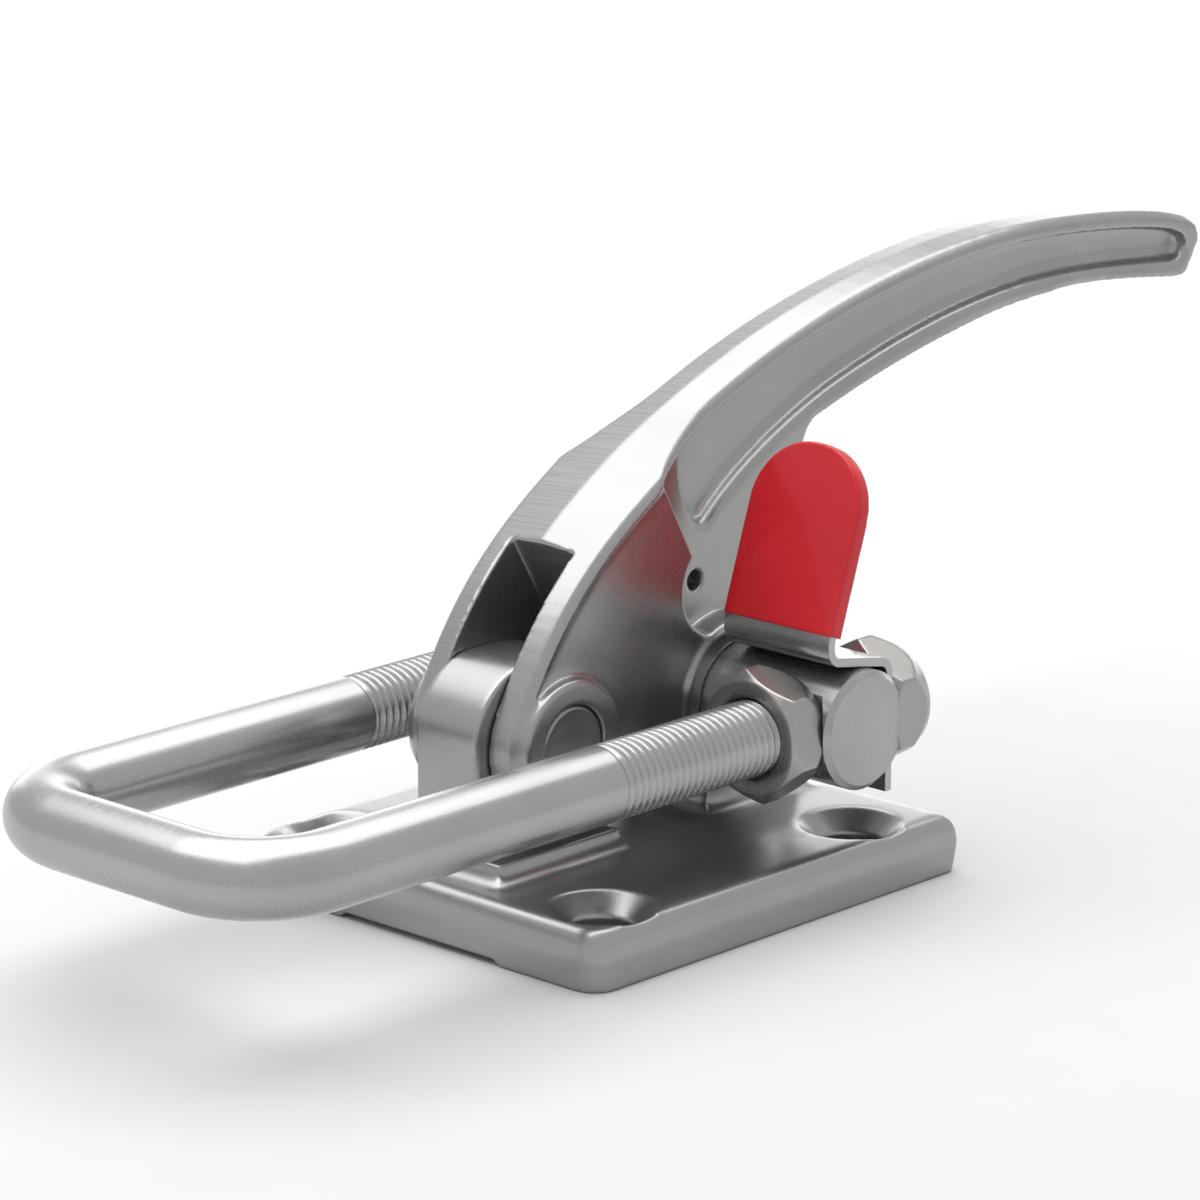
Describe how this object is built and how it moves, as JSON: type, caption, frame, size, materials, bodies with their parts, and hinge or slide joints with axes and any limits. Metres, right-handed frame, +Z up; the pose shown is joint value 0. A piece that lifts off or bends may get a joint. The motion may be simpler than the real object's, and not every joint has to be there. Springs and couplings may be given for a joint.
{
  "type": "over centre toggle latch",
  "caption": "Forged stainless over-centre toggle latch with a threaded U-bolt bail, a curved handle and a red-capped control lever, closed and lying on its four-hole base",
  "frame": {"origin": "centre of the four mounting holes, on the underside of the base", "axes": "+X from the bail towards the tip of the handle, +Y away from the control lever, +Z up off the mounting surface"},
  "size_m": [0.3312, 0.101, 0.1236],
  "materials": {
    "forged_steel": "blasted and polished stainless forging",
    "turned_steel": "turned and ground stainless bar",
    "nut_steel": "machined stainless hexagon",
    "pin_steel": "ground pin, faced ends",
    "sheet_steel": "rolled sheet",
    "red_vinyl": "dipped red vinyl"
  },
  "bodies": {
    "base_body": {"base": "forged_steel", "pivot_pin": "pin_steel"},
    "handle_body": {"handle": "forged_steel"},
    "trunnion_body": {"trunnion": "turned_steel", "control_lever": "sheet_steel", "lever_cap": "red_vinyl"},
    "bolt_body": {"u_bolt": "turned_steel"},
    "front_nut_near_body": {"front_nut_near": "nut_steel"},
    "front_nut_far_body": {"front_nut_far": "nut_steel"},
    "rear_nut_near_body": {"rear_nut_near": "nut_steel"},
    "rear_nut_far_body": {"rear_nut_far": "nut_steel"}
  },
  "joints": [
    {"name": "handle_swing", "type": "hinge", "parent": "base_body", "child": "handle_body", "pos_m": [-0.024, 0, 0.0386], "axis": [0, -1, 0], "range_deg": [0, 134]},
    {"name": "bail_level", "type": "hinge", "parent": "handle_body", "child": "trunnion_body", "pos_m": [0.0285, 0, 0.0375], "axis": [0, 1, 0], "range_deg": [0, 120.6]},
    {"name": "bail_reach", "type": "slide", "parent": "trunnion_body", "child": "bolt_body", "axis": [1, 0, 0], "range_m": [0, 0.04]},
    {"name": "front_nut_near_turn", "type": "hinge", "parent": "trunnion_body", "child": "front_nut_near_body", "pos_m": [0.01335, -0.0361, 0.0375], "axis": [-1, 0, 0], "range_deg": [0, 7201]},
    {"name": "front_nut_far_turn", "type": "hinge", "parent": "trunnion_body", "child": "front_nut_far_body", "pos_m": [0.01335, 0.0361, 0.0375], "axis": [-1, 0, 0], "range_deg": [0, 7201]},
    {"name": "rear_nut_near_turn", "type": "hinge", "parent": "trunnion_body", "child": "rear_nut_near_body", "pos_m": [0.0458, -0.0361, 0.0375], "axis": [-1, 0, 0], "range_deg": [0, 7201]},
    {"name": "rear_nut_far_turn", "type": "hinge", "parent": "trunnion_body", "child": "rear_nut_far_body", "pos_m": [0.0458, 0.0361, 0.0375], "axis": [-1, 0, 0], "range_deg": [0, 7201]}
  ],
  "couplings": [
    {"joint": "bail_level", "follows": "handle_swing", "ratio": 0.9},
    {"joint": "front_nut_near_turn", "follows": "bail_reach", "rad_per_m": 3141.6},
    {"joint": "front_nut_far_turn", "follows": "bail_reach", "rad_per_m": 3141.6},
    {"joint": "rear_nut_near_turn", "follows": "bail_reach", "rad_per_m": 3141.6},
    {"joint": "rear_nut_far_turn", "follows": "bail_reach", "rad_per_m": 3141.6}
  ]
}
